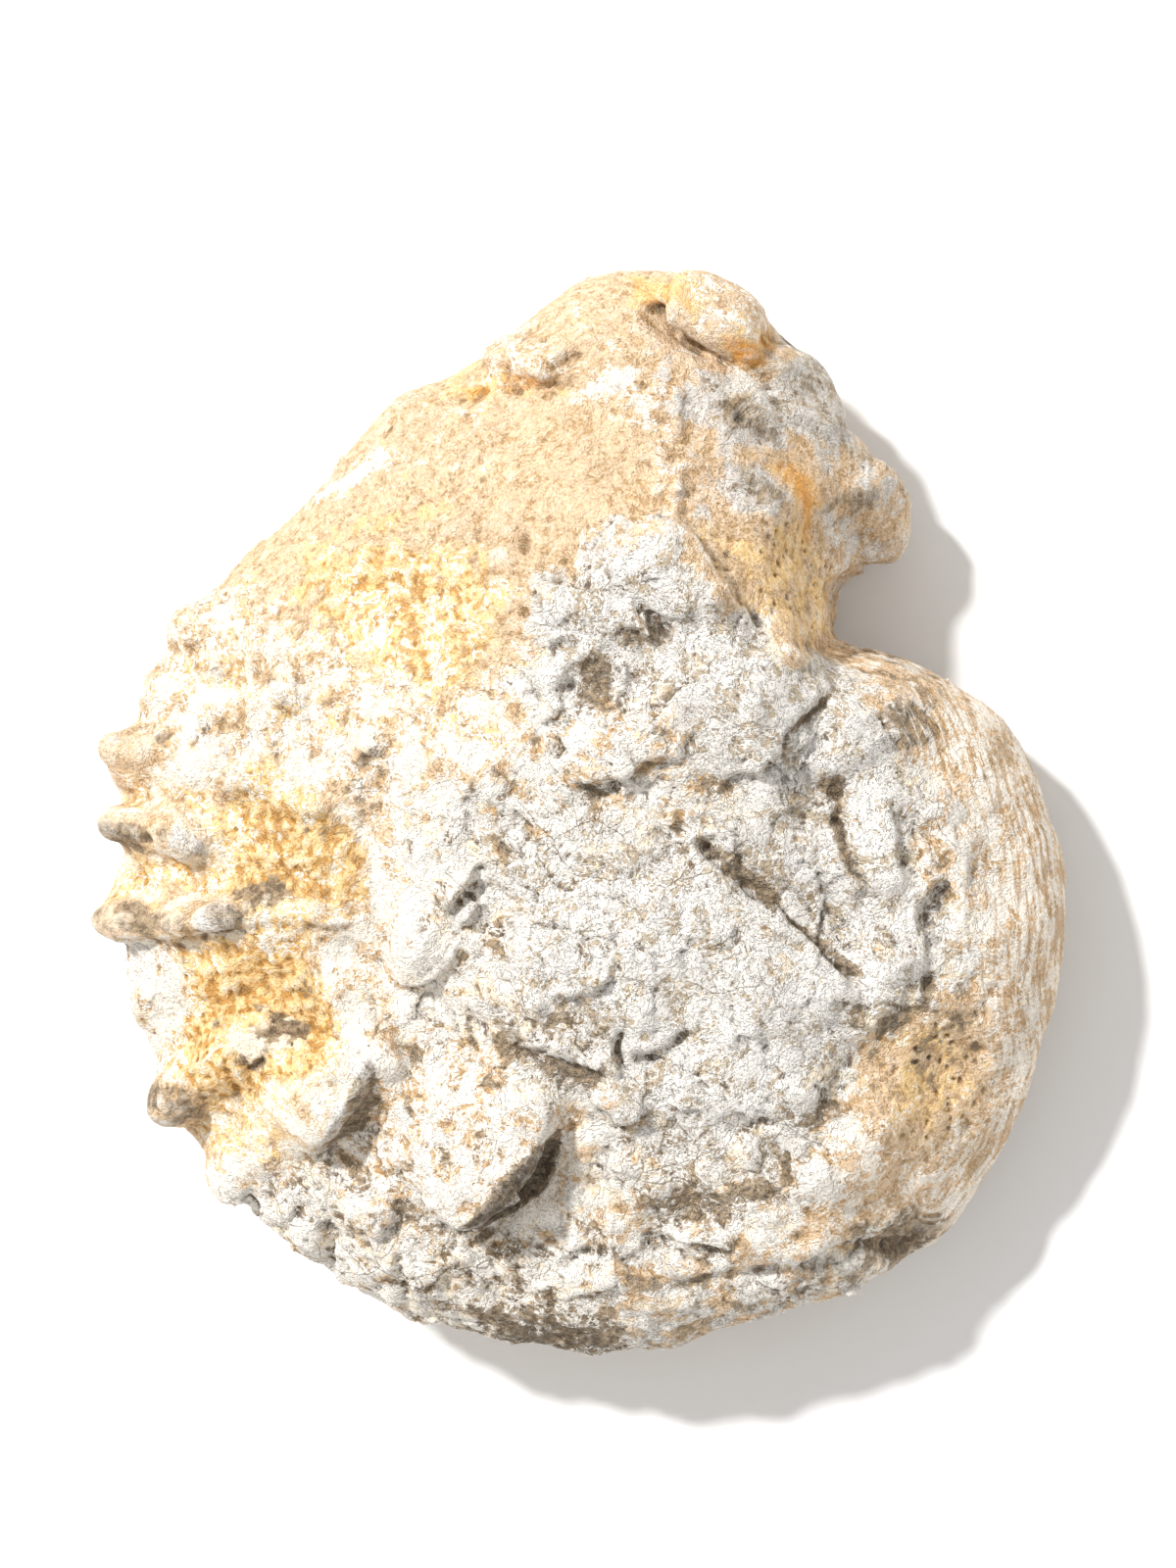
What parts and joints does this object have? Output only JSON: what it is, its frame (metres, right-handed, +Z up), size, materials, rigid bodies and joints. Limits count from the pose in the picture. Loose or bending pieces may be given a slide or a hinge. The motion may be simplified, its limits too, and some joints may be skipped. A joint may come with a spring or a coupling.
{
  "type": "ammonite fossil",
  "caption": "Weathered limestone mould of a ribbed, coiled ammonite shell with rock still in its hub, lying on its flank.",
  "frame": {"origin": "middle of the stone's plan box, on the surface that it lies on", "axes": "+Z up through the coil's flank, +Y towards the broken mouth, +X towards the smooth rim, so the ribbed side is at -X"},
  "size_m": [0.1128, 0.1258, 0.0433],
  "materials": {
    "stone": "dry, chalky limestone: cream and grey rock with golden ochre stain between the ribs and brown patina on the knobs"
  },
  "bodies": {
    "root": {"ammonite": "stone"}
  },
  "joints": []
}
